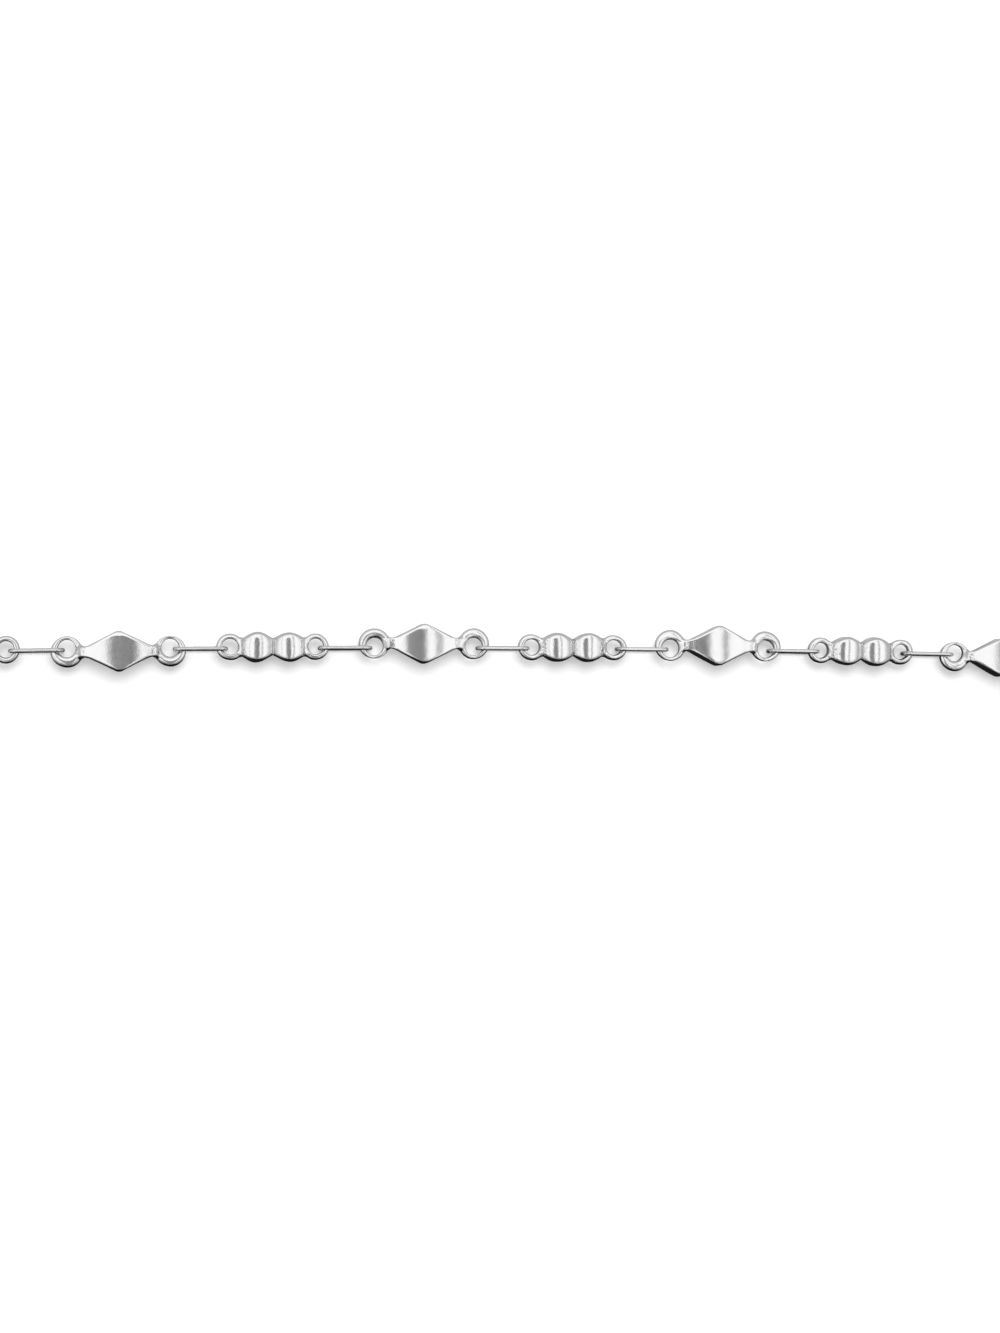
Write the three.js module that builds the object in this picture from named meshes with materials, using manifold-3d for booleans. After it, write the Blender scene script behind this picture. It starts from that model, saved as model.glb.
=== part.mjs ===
// A closed silver chain bracelet lying on a table: thin upright oval connectors join
// diamond-faced links and links with two barrel-shaped beads, in turn. The front stretch
// runs straight along X, the rest goes the plain way round behind it, and a one-piece
// lobster clasp closes the loop in the middle of the back.
// Millimetres, +Z up. The origin is under the middle of the loop, on the table.

import * as THREE from 'three';
import { mergeVertices } from 'three/addons/utils/BufferGeometryUtils.js';
import Module from 'manifold-3d';

const wasm = await Module();
wasm.setup();

// The chain: every second joint is an upright oval wire connector.
const MID = 0.63;                // height of the chain's middle plane above the table
const WIRE = 0.28;               // connector wire, thickness
const CONNECTOR_LENGTH = 2.88;   // outside, along the chain
const CONNECTOR_HEIGHT = 2 * MID;
const CONNECTOR_CORNER = 0.30;   // bend radius of the wire's middle line
const JOINT_SPAN = 3.10;         // from eyelet hole to eyelet hole across a connector
const PLATE = 0.50;              // thickness of the flat eyelets

// The diamond link: a flat-sided diamond, arched along its length, between two eyelets.
const DIAMOND_PITCH = 5.31;      // hole to hole
const DIAMOND_EYE = 0.825;       // eyelet radius
const DIAMOND_HOLE = 0.485;
const DIAMOND_HOLE_SHIFT = 0.165; // the holes are drilled off the link's centre line
const DIAMOND_HALF_WIDTH = 1.06;
const DIAMOND_SLOPE = 27;        // degrees between the diamond's edges and the chain
const DIAMOND_POINT = 0.45;      // radius that rounds the two side points
const DIAMOND_ARCH = 4.85;       // radius of the arched faces
const DIAMOND_SECTIONS = [0.2, 0.9, 1.56]; // distances from the middle where it changes
const NECK_HALF_WIDTH = 0.32;
const NECK_HALF_HEIGHT = 0.33;

// The bead link: two barrels side by side between two smaller eyelets.
const BEAD_PITCH = 4.49;
const BEAD_EYE = 0.70;
const BEAD_HOLE = 0.46;
const BARREL_SPACING = 1.67;
const BARREL_RADIUS = 0.78;      // half of a barrel's length along the chain
const BARREL_HALF_WIDTH = 0.78;
const PINCH_HALF_WIDTH = 0.47;   // the waist beside each barrel
const PINCH_HALF_HEIGHT = 0.28;
const BARREL_SECTIONS = [-0.97, -0.6, 0, 0.65, 0.92]; // as shares of the barrel's radius
const BAR_END = 0.07;            // metal between a link's bar and its eyelet holes

// The clasp: an oval body with a long opening, a thin hook tip, a tail eye and a thumb knob.
const CLASP_PITCH = 7.90;        // tail hole to the joint in the hook
const CLASP_HALF_WIDTH = 1.95;
const CLASP_BEVEL = 0.22;
const CLASP_PLAY = 0.46;         // from the hook joint to the inner wall of the tip
const CLASP_RIM = 0.58;          // metal at the tip
const CLASP_TAPER_START = 1.20;  // the body thins to the eyelets' thickness between these
const CLASP_TAPER_END = 0.25;    // distances back from the hook joint
const OPENING_RADIUS = 0.95;     // at both ends of the long opening
const OPENING_LENGTH = 1.35;     // between the centres of its two ends
const TAIL_HOLE = 0.50;
const TAIL_EYE = 0.93;
const TAIL_NECK = 0.85;          // from the tail hole to the oval body
const TAIL_NECK_HALF_WIDTH = 0.50;
const KNOB_RADIUS = 0.50;
const KNOB_BACK = 1.50;          // from the middle of the body towards the tail
const KNOB_OUT = 1.85;           // from the chain's line
const KNOB_HEIGHT = 1.00;

// The loop on the table.
const LINK_PAIRS = 12;           // a diamond link and a bead link each
const LINKS_TO_CLASP = 13;       // links from the front middle round to the clasp
const TURNED_OVER = [4, 8, 12, 17, 23]; // links, counted the same way, with their backs up
const FRONT_START_X = -6.70;     // the first diamond link's left hole
const SIDE_X = 32;               // the two side stretches
const FRONT_BOW = 0.35;          // the front stretch is bowed by this much
const FRONT_CORNER = 1.6;        // radii of the turns
const BACK_CORNER = 9;
const LINK_LEAN = 3;             // most degrees that the links lean about the chain
const CONNECTOR_LEAN = 9;
const LINK_LEAN_PACE = 2.6;      // radians of the lean's sine from one link to the next
const CONNECTOR_LEAN_PACE = 1.7;

const silver = { color: 0xd3d4d6, roughness: 0.22, metalness: 1 };

// ---------- solids ----------

function toSolid(geometry) {
  geometry.deleteAttribute('normal');
  geometry.deleteAttribute('uv');
  const merged = mergeVertices(geometry, 1e-5);
  return new wasm.Manifold(new wasm.Mesh({
    numProp: 3,
    vertProperties: new Float32Array(merged.attributes.position.array),
    triVerts: new Uint32Array(merged.index.array),
  }));
}

function toGeometry(solid) {
  const mesh = solid.getMesh();
  const geometry = new THREE.BufferGeometry();
  geometry.setAttribute('position', new THREE.BufferAttribute(mesh.vertProperties, 3));
  geometry.setIndex(new THREE.BufferAttribute(mesh.triVerts, 1));
  return geometry;
}

// A flat round disc with bevelled rims, lying in the XY plane.
function disc(radius, thickness, x, y) {
  const bevel = thickness * 0.3;
  const half = thickness / 2;
  const profile = [
    new THREE.Vector2(0, -half),
    new THREE.Vector2(radius - bevel, -half),
    new THREE.Vector2(radius, bevel - half),
    new THREE.Vector2(radius, half - bevel),
    new THREE.Vector2(radius - bevel, half),
    new THREE.Vector2(0, half),
  ];
  const geometry = new THREE.LatheGeometry(profile, 12);
  geometry.rotateX(Math.PI / 2);
  geometry.translate(x, y, 0);
  return toSolid(geometry);
}

function drill(radius, x, y) {
  const geometry = new THREE.CylinderGeometry(radius, radius, 2 * CONNECTOR_HEIGHT, 12);
  geometry.rotateX(Math.PI / 2);
  geometry.translate(x, y, 0);
  return toSolid(geometry);
}

// A bar along X with eight-sided sections. At each station its half width and half height
// come from the two functions, and corner is the share of the smaller one that is cut off.
// The lathe's points on the axis close the two ends and stay there.
function bar(stations, halfWidth, halfHeight, corner) {
  const ends = [stations[0], stations[stations.length - 1]];
  const profile = [
    new THREE.Vector2(0, ends[0]),
    ...stations.map((x) => new THREE.Vector2(1, x)),
    new THREE.Vector2(0, ends[1]),
  ];
  const geometry = new THREE.LatheGeometry(profile, 8, Math.PI / 8);
  geometry.rotateZ(-Math.PI / 2);
  const position = geometry.attributes.position;
  for (let i = 0; i < position.count; i += 1) {
    const [x, y, z] = [position.getX(i), position.getY(i), position.getZ(i)];
    const onAxis = Math.hypot(y, z) < 0.5;
    if (!onAxis) {
      const [width, height] = [halfWidth(x), halfHeight(x)];
      const cut = corner * Math.min(width, height);
      const flat = Math.abs(z) > Math.abs(y);
      position.setY(i, Math.sign(y) * (flat ? width - cut : width));
      position.setZ(i, Math.sign(z) * (flat ? height : height - cut));
    }
  }
  return toSolid(geometry);
}

function mirrored(distances) {
  return [...distances.map((x) => -x).reverse(), ...distances.filter((x) => x > 0)];
}

// ---------- links ----------

// Half width of the diamond: a round point, a straight edge down to the neck, and a small
// fillet where the neck runs into the eyelet.
function diamondHalfWidth(x) {
  const slope = THREE.MathUtils.degToRad(DIAMOND_SLOPE);
  const centre = DIAMOND_HALF_WIDTH - DIAMOND_POINT;
  const reach = Math.abs(x);
  const roundEnd = DIAMOND_POINT * Math.sin(slope);
  if (reach < roundEnd) return centre + Math.sqrt(DIAMOND_POINT ** 2 - reach ** 2);
  const edge = centre + DIAMOND_POINT * Math.cos(slope) - (reach - roundEnd) * Math.tan(slope);
  const fillet = Math.max(0, reach - (DIAMOND_PITCH / 2 - DIAMOND_EYE)) / 2;
  return Math.max(edge, NECK_HALF_WIDTH + fillet);
}

function diamondHalfHeight(x) {
  const arch = MID - DIAMOND_ARCH + Math.sqrt(DIAMOND_ARCH ** 2 - x ** 2);
  return Math.max(arch, NECK_HALF_HEIGHT);
}

function diamondLink() {
  const half = DIAMOND_PITCH / 2;
  const end = half - DIAMOND_HOLE - BAR_END;
  const stations = mirrored([...DIAMOND_SECTIONS, end]);
  const body = bar(stations, diamondHalfWidth, diamondHalfHeight, 0.35);
  let link = body;
  for (const side of [-1, 1]) link = link.add(disc(DIAMOND_EYE, PLATE, side * half, 0));
  for (const side of [-1, 1]) {
    link = link.subtract(drill(DIAMOND_HOLE, side * half, -DIAMOND_HOLE_SHIFT));
  }
  const geometry = toGeometry(link);
  geometry.translate(0, DIAMOND_HOLE_SHIFT, 0);
  return geometry;
}

// How far along x lies inside the nearer barrel's round: 1 at its middle, 0 at its end.
function barrelRound(x) {
  const along = (Math.abs(x) - BARREL_SPACING / 2) / BARREL_RADIUS;
  return Math.sqrt(Math.max(0, 1 - along ** 2));
}

function beadLink() {
  const half = BEAD_PITCH / 2;
  const middle = BARREL_SPACING / 2;
  const end = half - BEAD_HOLE - BAR_END;
  const barrel = BARREL_SECTIONS.map((share) => middle + share * BARREL_RADIUS);
  const body = bar(mirrored([...barrel, end]),
    (x) => PINCH_HALF_WIDTH + (BARREL_HALF_WIDTH - PINCH_HALF_WIDTH) * barrelRound(x),
    (x) => PINCH_HALF_HEIGHT + (MID - PINCH_HALF_HEIGHT) * barrelRound(x), 0.42);
  let link = body;
  for (const side of [-1, 1]) link = link.add(disc(BEAD_EYE, PLATE, side * half, 0));
  for (const side of [-1, 1]) link = link.subtract(drill(BEAD_HOLE, side * half, 0));
  return toGeometry(link);
}

// An upright oval of round wire: a small torus parted both ways, with its corners on the
// true bend.
function connector() {
  const sides = 12;
  const bend = CONNECTOR_CORNER / Math.cos(Math.PI / sides);
  const along = (CONNECTOR_LENGTH - WIRE) / 2 - CONNECTOR_CORNER;
  const up = (CONNECTOR_HEIGHT - WIRE) / 2 - CONNECTOR_CORNER;
  const geometry = new THREE.TorusGeometry(bend, WIRE / 2, 6, sides);
  geometry.rotateZ(Math.PI / sides);
  const position = geometry.attributes.position;
  for (let i = 0; i < position.count; i += 1) {
    const [x, y] = [position.getX(i), position.getY(i)];
    position.setXY(i, x + Math.sign(x) * along, y + Math.sign(y) * up);
  }
  geometry.rotateX(Math.PI / 2);
  return toGeometry(toSolid(geometry));
}

// A flat prism through a closed outline in the XY plane, as thick as asked, about z = 0.
function prism(outline, thickness, bevel, curveSegments) {
  const geometry = new THREE.ExtrudeGeometry(outline, {
    depth: thickness - 2 * bevel,
    curveSegments,
    bevelEnabled: bevel > 0,
    bevelThickness: bevel,
    bevelSize: bevel,
    bevelOffset: -bevel,
    bevelSegments: 1,
  });
  geometry.translate(0, 0, bevel - thickness / 2);
  return geometry;
}

// The clasp lies flat, tail eye at -X and hook at +X. Both ends are as thin as the eyelets,
// so that the connectors pass round them.
function clasp() {
  const joint = CLASP_PITCH / 2;
  const tip = joint + CLASP_PLAY + CLASP_RIM;
  const tail = -joint + TAIL_NECK;
  const middle = (tip + tail) / 2;

  const oval = new THREE.Shape();
  oval.absellipse(middle, 0, (tip - tail) / 2, CLASP_HALF_WIDTH, 0, 2 * Math.PI);
  const body = toSolid(prism(oval, CONNECTOR_HEIGHT, CLASP_BEVEL, 16));

  const sideView = new THREE.Shape([
    new THREE.Vector2(tail - 1, -MID),
    new THREE.Vector2(joint - CLASP_TAPER_START, -MID),
    new THREE.Vector2(joint - CLASP_TAPER_END, -PLATE / 2),
    new THREE.Vector2(tip + 1, -PLATE / 2),
    new THREE.Vector2(tip + 1, PLATE / 2),
    new THREE.Vector2(joint - CLASP_TAPER_END, PLATE / 2),
    new THREE.Vector2(joint - CLASP_TAPER_START, MID),
    new THREE.Vector2(tail - 1, MID),
  ]);
  const taper = prism(sideView, 4 * CLASP_HALF_WIDTH, 0, 1);
  taper.rotateX(Math.PI / 2);

  const far = joint + CLASP_PLAY - OPENING_RADIUS;
  const slot = new THREE.Shape();
  slot.absarc(far, 0, OPENING_RADIUS, -Math.PI / 2, Math.PI / 2);
  slot.absarc(far - OPENING_LENGTH, 0, OPENING_RADIUS, Math.PI / 2, 1.5 * Math.PI);
  const opening = toSolid(prism(slot, 2 * CONNECTOR_HEIGHT, 0, 5));

  const neckEnds = [-joint + TAIL_HOLE + BAR_END, tail + CLASP_HALF_WIDTH / 2];
  const solid = body
    .intersect(toSolid(taper))
    .subtract(opening)
    .add(disc(KNOB_RADIUS, KNOB_HEIGHT, middle - KNOB_BACK, KNOB_OUT))
    .add(bar(neckEnds, () => TAIL_NECK_HALF_WIDTH, () => PLATE / 2, 0.3))
    .add(disc(TAIL_EYE, PLATE, -joint, 0))
    .subtract(drill(TAIL_HOLE, -joint, 0));
  return toGeometry(solid);
}

// ---------- the loop ----------

// The line that the joints lie on, counter-clockwise from the left end of the front stretch.
function guideLine(backY) {
  const line = new THREE.Path();
  const front = SIDE_X - FRONT_CORNER;
  const back = SIDE_X - BACK_CORNER;
  const turn = backY - BACK_CORNER;
  line.moveTo(-front, 0);
  line.quadraticCurveTo(0, 2 * FRONT_BOW, front, 0);
  line.absarc(front, FRONT_CORNER, FRONT_CORNER, -Math.PI / 2, 0);
  line.lineTo(SIDE_X, turn);
  line.absarc(back, turn, BACK_CORNER, 0, Math.PI / 2);
  line.lineTo(-back, backY);
  line.absarc(-back, turn, BACK_CORNER, Math.PI / 2, Math.PI);
  line.lineTo(-SIDE_X, FRONT_CORNER);
  line.absarc(-front, FRONT_CORNER, FRONT_CORNER, Math.PI, 1.5 * Math.PI);
  line.arcLengthDivisions = 1000;
  return line;
}

// Halves the bracket [low, high] until it holds the place where tooFar changes to true.
function bisect(low, high, tooFar) {
  for (let step = 0; step < 45; step += 1) {
    const middle = (low + high) / 2;
    if (tooFar(middle)) high = middle;
    else low = middle;
  }
  return (low + high) / 2;
}

// Steps along the line with straight spans of the given lengths. Returns the joints and
// how far the last one lies beyond the first, as a share of the line.
function walk(line, spans) {
  const pointAt = (share) => line.getPointAt(((share % 1) + 1) % 1);
  const length = line.getLength();
  const first = bisect(0, 0.2, (share) => pointAt(share).x > FRONT_START_X);
  const joints = [pointAt(first)];
  let share = first;
  for (const span of spans) {
    const from = joints[joints.length - 1];
    share = bisect(share, share + (1.6 * span) / length,
      (next) => pointAt(next).distanceTo(from) > span);
    joints.push(pointAt(share));
  }
  return { joints, excess: share - first - 1 };
}

const PITCH = { diamond_link: DIAMOND_PITCH, bead_link: BEAD_PITCH, lobster_clasp: CLASP_PITCH };

// The kinds of piece round the loop, from the middle of the front.
function piecesInOrder() {
  const order = [];
  for (let pair = 0; pair < LINK_PAIRS; pair += 1) order.push('diamond_link', 'bead_link');
  order.splice(LINKS_TO_CLASP, 0, 'lobster_clasp');
  return order;
}

const numbered = (name, number) => `${name}_${String(number).padStart(2, '0')}`;

// Lays a named piece on the table between two joints, leaning about the line through them.
function lay(group, geometry, name, from, to, lean) {
  const mesh = new THREE.Mesh(geometry, new THREE.MeshStandardMaterial(silver));
  mesh.name = name;
  const heading = Math.atan2(to.y - from.y, to.x - from.x);
  mesh.rotation.set(THREE.MathUtils.degToRad(lean), 0, heading, 'ZYX');
  mesh.position.set((from.x + to.x) / 2, (from.y + to.y) / 2, 0);
  mesh.position.z = -new THREE.Box3().setFromObject(mesh, true).min.z;
  group.add(mesh);
}

const bracelet = new THREE.Group();
const order = piecesInOrder();
const spans = order.flatMap((kind) => [PITCH[kind], JOINT_SPAN]);
const backY = bisect(20, 70, (y) => walk(guideLine(y), spans).excess < 0);
const { joints } = walk(guideLine(backY), spans);

const shapes = {
  diamond_link: diamondLink(),
  bead_link: beadLink(),
  lobster_clasp: clasp(),
};
const connectorShape = connector();
const count = { diamond_link: 0, bead_link: 0 };

order.forEach((kind, index) => {
  const [start, end, next] = joints.slice(2 * index, 2 * index + 3);
  if (kind === 'lobster_clasp') {
    lay(bracelet, shapes[kind], kind, start, end, 0);
  } else {
    count[kind] += 1;
    const turned = TURNED_OVER.includes(index) ? 180 : 0;
    const lean = LINK_LEAN * Math.sin(LINK_LEAN_PACE * index) + turned;
    lay(bracelet, shapes[kind], numbered(kind, count[kind]), start, end, lean);
  }
  const connectorLean = CONNECTOR_LEAN * Math.sin(CONNECTOR_LEAN_PACE * index + 1);
  const name = numbered('connector', index + 1);
  lay(bracelet, connectorShape, name, end, next, connectorLean);
});

// The origin goes under the middle of the whole loop.
const centre = new THREE.Box3().setFromObject(bracelet, true).getCenter(new THREE.Vector3());
bracelet.position.set(-centre.x, -centre.y, 0);

export default bracelet;
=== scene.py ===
"""A silver chain bracelet on a pale table: diamond-faced links and double-barrel links in
turn, joined by upright wire ovals, with a plain lobster clasp at the back.

Lengths are in metres and Z is up. Every piece is built in its own axes, where x runs along
the chain, y across it and z up, and laid where the frame says. Only the wire ovals stand
straighter than their nodes and a little further out."""

import math

import bpy
import numpy as np
from bpy.props import FloatProperty, FloatVectorProperty, PointerProperty
from bpy.types import Operator, Panel, PropertyGroup
from mathutils import Matrix, Vector


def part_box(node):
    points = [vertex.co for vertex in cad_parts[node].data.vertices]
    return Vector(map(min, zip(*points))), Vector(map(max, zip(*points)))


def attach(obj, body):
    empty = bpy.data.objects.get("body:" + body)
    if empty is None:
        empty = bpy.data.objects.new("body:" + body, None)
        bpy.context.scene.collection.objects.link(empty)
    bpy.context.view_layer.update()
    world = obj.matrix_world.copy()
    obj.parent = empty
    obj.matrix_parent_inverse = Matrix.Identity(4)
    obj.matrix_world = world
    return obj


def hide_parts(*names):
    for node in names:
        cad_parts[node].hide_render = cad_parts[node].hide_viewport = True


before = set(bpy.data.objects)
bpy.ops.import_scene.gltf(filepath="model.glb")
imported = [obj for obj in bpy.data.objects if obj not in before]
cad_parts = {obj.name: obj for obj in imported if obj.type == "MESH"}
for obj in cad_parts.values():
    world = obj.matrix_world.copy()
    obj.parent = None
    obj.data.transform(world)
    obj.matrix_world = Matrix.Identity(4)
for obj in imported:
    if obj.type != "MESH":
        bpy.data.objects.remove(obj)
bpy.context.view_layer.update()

bl_info = {
    "name": "Chain Bracelet",
    "version": (1, 0, 0),
    "blender": (4, 5, 0),
    "location": "3D View > Sidebar > Bracelet",
    "description": "Builds the links, connectors and clasp of a silver chain, and its studio",
    "category": "Add Mesh",
}

MM = 0.001
BODY = "root"
CAST = "cast"
# The second mark is painted shade, darkest where a piece's own walls shut a place in.
RECESS_SHADE = "recess"
WHITE = 1.02

# Wear of the edges, the bars of the links and where they end inside the eyelets, and how
# far off a wall a place still counts as shut in, for the painted shade.
CRISP = 0.035 * MM
WORN_SHARE = 0.3
BAR_OVERLAP = 0.14 * MM
BAR_ROUNDING = 0.12 * MM
RECESS_REACH = 0.3 * MM

# Wavelengths of the unevenness, the quick waves' share of the slow ones, and the faintest
# cast marks' share of the strongest.
SLOW_WAVE = 1.1 * MM
QUICK_WAVE = 0.34 * MM
QUICK_SHARE = 0.35
SWAY_WAVE = 2.0 * MM
MARK_WAVE = 0.13 * MM
FAINTEST = 0.3

# Each piece's random draws start from a seed of its own.
DIAMOND_SEED = 100
BEAD_SEED = 500
WEAR_SEED = 746
CLASP_SEED = 800
WIRE_SEED = 900
SEED_STEP = 10


# ---------- settings ----------


def length(name, description, default):
    """A length setting, in metres."""
    return FloatProperty(
        name=name,
        description=description,
        default=default,
        min=0,
        precision=6,
        unit="LENGTH",
    )


class DiamondLinkSettings(PropertyGroup):
    """Sizes of the diamond-faced links"""

    eye: length("Eyelet", "Radius of the round eyelets", 0.825 * MM)
    hole: length("Hole", "Radius of the eyelets' holes", 0.465 * MM)
    hole_shift: length("Hole shift", "Holes lie this far off the link's middle", 0.165 * MM)
    plate: length("Plate", "Half thickness of the eyelets", 0.25 * MM)
    rim: length("Rim", "Wear towards the eyelets' outer edge", 0.45 * MM)
    lip: length("Lip", "Least wear at the mouth of the holes", 0.18 * MM)
    dish: length("Dish", "Most wear at the mouth of the holes", 0.53 * MM)
    half_width: length("Half width", "From the middle to a side point", 1.06 * MM)
    point: length("Point", "Radius of the two side points", 0.45 * MM)
    slope: FloatProperty(
        name="Slope",
        description="Between the diamond's edges and the chain",
        default=math.radians(27),
        subtype="ANGLE",
    )
    half_height: length("Half height", "At the middle of the arched faces", 0.63 * MM)
    arch: length("Arch", "Radius of the arched front", 4.85 * MM)
    back_arch: length("Back arch", "Radius of the flatter back", 7.5 * MM)
    edge: length("Edge", "Wear of the faces towards the sides", 0.22 * MM)
    point_wear: length("Point wear", "More wear at the side points", 0.20 * MM)
    sweep: length("Sweep", "Curve of the sides into the necks", 0.10 * MM)
    neck_width: length("Neck width", "Half width of the necks", 0.27 * MM)
    neck_height: length("Neck height", "Half height of the necks", 0.29 * MM)
    fillet: length("Fillet", "Where the necks meet the eyelets", 0.24 * MM)


class BeadLinkSettings(PropertyGroup):
    """Sizes of the links with two barrels"""

    eye: length("Eyelet", "Radius of the round eyelets", 0.70 * MM)
    hole: length("Hole", "Radius of the eyelets' holes", 0.415 * MM)
    plate: length("Plate", "Half thickness of the eyelets", 0.25 * MM)
    rim: length("Rim", "Wear towards the eyelets' outer edge", 0.38 * MM)
    lip: length("Lip", "Least wear at the mouth of the holes", 0.16 * MM)
    dish: length("Dish", "Most wear at the mouth of the holes", 0.34 * MM)
    spacing: length("Spacing", "Between the middles of the two barrels", 1.67 * MM)
    barrel_length: length("Barrel length", "Half a barrel, along the chain", 0.82 * MM)
    barrel_width: length("Barrel width", "Half a barrel, across the chain", 0.78 * MM)
    barrel_height: length("Barrel height", "Half a barrel, upright", 0.63 * MM)
    pinch_width: length("Pinch width", "Half width beside the barrels", 0.46 * MM)
    pinch_height: length("Pinch height", "Half height beside the barrels", 0.28 * MM)
    fillet: length("Fillet", "Between the barrels and the eyelets", 0.22 * MM)


class ConnectorSettings(PropertyGroup):
    """Sizes of the wire ovals and how they stand"""

    corner: length("Corner", "Bend radius of the wire's middle line", 0.30 * MM)
    wire: length("Wire", "Radius of the wire", 0.114 * MM)
    drift: length("Drift", "How far the ovals lie from the chain's line, outwards", 0.07 * MM)
    lean_kept: FloatProperty(
        name="Lean kept",
        description="Share of the solids' lean about the chain that the ovals keep",
        default=0.15,
        min=0.0,
        max=1.0,
        subtype="FACTOR",
    )


class ClaspSettings(PropertyGroup):
    """Sizes of the lobster clasp"""

    eye: length("Tail eye", "Radius of the tail's eye", 0.93 * MM)
    hole: length("Tail hole", "Radius of the hole in it", 0.50 * MM)
    plate: length("Plate", "Half thickness of the eye and the hook's tip", 0.25 * MM)
    tail: length("Tail", "From the tail hole to the oval body", 0.85 * MM)
    tail_width: length("Tail width", "Half width of the tail's neck", 0.50 * MM)
    half_width: length("Half width", "Of the oval body", 1.95 * MM)
    tip: length("Tip", "Metal at the tip of the hook", 0.58 * MM)
    opening: length("Opening", "Radius at both ends of the opening", 0.95 * MM)
    opening_length: length("Opening length", "Between those ends' centres", 1.35 * MM)
    edge: length("Edge", "Rounding of the body's edges", 0.34 * MM)
    knob: length("Knob", "Radius of the thumb knob", 0.50 * MM)


class SilverSettings(PropertyGroup):
    """Colours of the metal, its unevenness and the fineness of its meshes"""

    color: FloatVectorProperty(
        name="Silver",
        description="Colour of the clean metal",
        subtype="COLOR",
        default=(0.94, 0.94, 0.94),
        min=0,
        max=1,
    )
    # The second colour is also that of the painted shade in recesses.
    tarnish_and_shade: FloatVectorProperty(
        name="Tarnish and shade",
        description="Colour of the metal where polish doesn't reach",
        subtype="COLOR",
        default=(0.50, 0.50, 0.50),
        min=0,
        max=1,
    )
    cell: length("Mesh step", "Size of the mesh's faces", 0.052 * MM)
    clasp_cell: length("Clasp mesh step", "Size of the clasp's faces", 0.08 * MM)
    sway: length("Sway", "How far outlines stray from true", 0.018 * MM)
    undulation: length("Undulation", "Unevenness of the hand-polished faces", 0.0014 * MM)
    cast_depth: length("Cast marks", "Depth of the marks left by the casting", 0.010 * MM)


class StudioSettings(PropertyGroup):
    """Places of the camera and size of the table top"""

    distance: length("Distance", "From the camera to the chain", 120 * MM)
    lean: FloatProperty(
        name="Lean",
        description="The camera leans this far from straight above, to the left",
        default=math.radians(8.45),
        subtype="ANGLE",
    )
    roll: FloatProperty(
        name="Roll",
        description="The camera's turn about its own axis",
        default=math.radians(-0.18),
        subtype="ANGLE",
    )
    lens: FloatProperty(
        name="Lens",
        description="Focal length",
        default=60.68,
        min=1,
        unit="CAMERA",
    )
    aim_ahead: length("Aim ahead", "From the first diamond link to the aim", 4.08 * MM)
    aim_below: length("Aim below", "From the chain's line to the aim", 1.20 * MM)
    floor_size: length("Floor", "Width of the table top", 1200 * MM)


# ---------- shaping ----------


def round_cut(first, second, radius):
    """Distance to what both shapes share, with the edge between them rounded."""
    beyond = np.hypot(np.maximum(first + radius, 0), np.maximum(second + radius, 0))
    return np.minimum(-radius, np.maximum(first, second)) + beyond


def round_join(first, second, radius):
    """Distance to the two shapes together, with a fillet between them."""
    beyond = np.hypot(np.maximum(radius - first, 0), np.maximum(radius - second, 0))
    return np.maximum(radius, np.minimum(first, second)) - beyond


def worn_cut(side, top, radius):
    """Distance to what a wall and two faces share, with the faces worn down towards the
    wall in a part of an arc, and a crisp edge where the arc meets the wall."""
    worn = round_cut(side - WORN_SHARE * radius, top, radius)
    return round_cut(worn, side, CRISP)


def disc(at, x, y, radius, half_height, rim):
    """Distance to a flat disc with a worn rim."""
    outside = np.hypot(at[..., 0] - x, at[..., 1] - y) - radius
    return worn_cut(outside, np.abs(at[..., 2]) - half_height, rim)


def drilled(solid, at, x, y, radius, lip):
    """The solid with an upright hole whose mouths are worn."""
    return worn_cut(radius - np.hypot(at[..., 0] - x, at[..., 1] - y), solid, lip)


def fading(distance, spread):
    """1 where the distance is nothing, and almost 0 at twice the spread."""
    return np.exp(-((distance / spread) ** 2))


def ripple(seed, wavelength, waves=11):
    """An uneven field from about -1 to 1: waves of one length in all directions."""
    rng = np.random.default_rng(seed)
    ways = rng.normal(size=(waves, 3))
    ways *= math.tau / wavelength / np.linalg.norm(ways, axis=1, keepdims=True)
    phases = rng.uniform(0, math.tau, waves)
    return lambda at: np.sin(at @ ways.T + phases).sum(-1) / math.sqrt(waves)


def slope_of(field, at, step=1e-7):
    """The field's gradient at each place."""
    shifts = np.eye(3) * step
    return np.stack(
        [(field(at + shift) - field(at - shift)) / (2 * step) for shift in shifts], -1
    )


def surface_net(field, low, high, cell):
    """Vertices and quads of the closed surface where the field is zero."""
    axes = [np.arange(a - 2 * cell, b + 3 * cell, cell) for a, b in zip(low, high)]
    grid = np.stack(np.meshgrid(*axes, indexing="ij"), -1)
    value = field(grid)
    inside = value < 0
    total = np.zeros(grid.shape)
    count = np.zeros(value.shape)
    crossings = []
    for axis in range(3):
        step = np.eye(3, dtype=int)[axis]
        near = tuple(slice(0, size - s) for size, s in zip(value.shape, step))
        far = tuple(slice(s, None) for s in step)
        start = np.argwhere(inside[near] != inside[far])
        end = start + step
        a, b = value[tuple(start.T)], value[tuple(end.T)]
        share = (a / (a - b))[:, None]
        place = grid[tuple(start.T)] * (1 - share) + grid[tuple(end.T)] * share
        side, other = np.roll(np.eye(3, dtype=int), -axis, 0)[1:]
        ring = np.stack([start, start - side, start - side - other, start - other], 1)
        for corner in range(4):
            np.add.at(total, tuple(ring[:, corner].T), place)
            np.add.at(count, tuple(ring[:, corner].T), 1)
        ring[a > 0] = ring[a > 0][:, ::-1]
        crossings.append(ring)
    used = count > 0
    number = np.full(value.shape, -1)
    number[used] = np.arange(used.sum())
    vertices = total[used] / count[used][:, None]
    rings = np.concatenate(crossings)
    return vertices, number[rings[..., 0], rings[..., 1], rings[..., 2]]


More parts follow.
